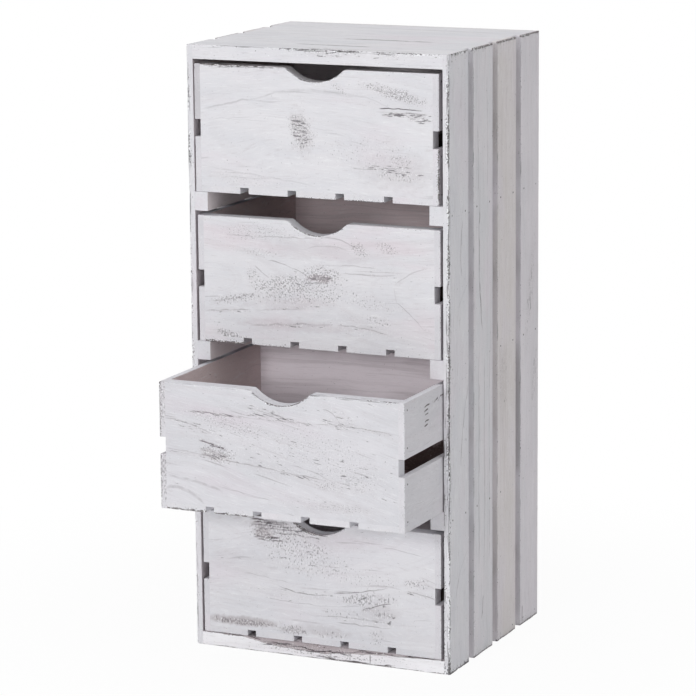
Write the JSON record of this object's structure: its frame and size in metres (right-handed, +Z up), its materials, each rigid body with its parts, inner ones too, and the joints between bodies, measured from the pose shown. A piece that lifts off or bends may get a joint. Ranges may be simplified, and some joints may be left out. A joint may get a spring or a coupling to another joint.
{
  "type": "chest of drawers",
  "caption": "Tall narrow crate-style chest of slatted whitewashed wood, with four sliding drawers that have a hand cut-out in the front.",
  "frame": {"origin": "centre of the cabinet's underside, where it rests on the floor", "axes": "+Z up, +Y from the drawer fronts to the back, +X to the right of someone facing the fronts"},
  "size_m": [0.356, 0.417, 0.78],
  "materials": {
    "cabinet_wood": "thin whitewash, rubbed through at the edges",
    "runner_wood": "thin whitewash",
    "drawer_wood": "thin whitewash with grain showing through",
    "back_panel": "thin whitewash on plywood",
    "nails": "dull dark steel brads"
  },
  "bodies": {
    "cabinet": {"top_board": "cabinet_wood", "bottom_board": "cabinet_wood", "side_slat_left_1": "cabinet_wood", "side_slat_left_2": "cabinet_wood", "side_slat_left_3": "cabinet_wood", "side_slat_left_4": "cabinet_wood", "side_slat_right_1": "cabinet_wood", "side_slat_right_2": "cabinet_wood", "side_slat_right_3": "cabinet_wood", "side_slat_right_4": "cabinet_wood", "runner_left_1": "runner_wood", "runner_left_2": "runner_wood", "runner_left_3": "runner_wood", "runner_right_1": "runner_wood", "runner_right_2": "runner_wood", "runner_right_3": "runner_wood", "back_panel": "back_panel", "cabinet_nails": "nails"},
    "drawer_1": {"drawer_1_front": "drawer_wood", "drawer_1_back": "drawer_wood", "drawer_1_side_left_upper": "drawer_wood", "drawer_1_side_left_lower": "drawer_wood", "drawer_1_side_right_upper": "drawer_wood", "drawer_1_side_right_lower": "drawer_wood", "drawer_1_bottom": "drawer_wood", "drawer_1_nails": "nails"},
    "drawer_2": {"drawer_2_front": "drawer_wood", "drawer_2_back": "drawer_wood", "drawer_2_side_left_upper": "drawer_wood", "drawer_2_side_left_lower": "drawer_wood", "drawer_2_side_right_upper": "drawer_wood", "drawer_2_side_right_lower": "drawer_wood", "drawer_2_bottom": "drawer_wood", "drawer_2_nails": "nails"},
    "drawer_3": {"drawer_3_front": "drawer_wood", "drawer_3_back": "drawer_wood", "drawer_3_side_left_upper": "drawer_wood", "drawer_3_side_left_lower": "drawer_wood", "drawer_3_side_right_upper": "drawer_wood", "drawer_3_side_right_lower": "drawer_wood", "drawer_3_bottom": "drawer_wood", "drawer_3_nails": "nails"},
    "drawer_4": {"drawer_4_front": "drawer_wood", "drawer_4_back": "drawer_wood", "drawer_4_side_left_upper": "drawer_wood", "drawer_4_side_left_lower": "drawer_wood", "drawer_4_side_right_upper": "drawer_wood", "drawer_4_side_right_lower": "drawer_wood", "drawer_4_bottom": "drawer_wood", "drawer_4_nails": "nails"}
  },
  "joints": [
    {"name": "drawer_1_slide", "type": "slide", "parent": "cabinet", "child": "drawer_1", "axis": [0, -1, 0], "range_m": [0, 0.23]},
    {"name": "drawer_2_slide", "type": "slide", "parent": "cabinet", "child": "drawer_2", "axis": [0, -1, 0], "range_m": [0, 0.23]},
    {"name": "drawer_3_slide", "type": "slide", "parent": "cabinet", "child": "drawer_3", "axis": [0, -1, 0], "range_m": [-0.118, 0.112]},
    {"name": "drawer_4_slide", "type": "slide", "parent": "cabinet", "child": "drawer_4", "axis": [0, -1, 0], "range_m": [0, 0.23]}
  ]
}
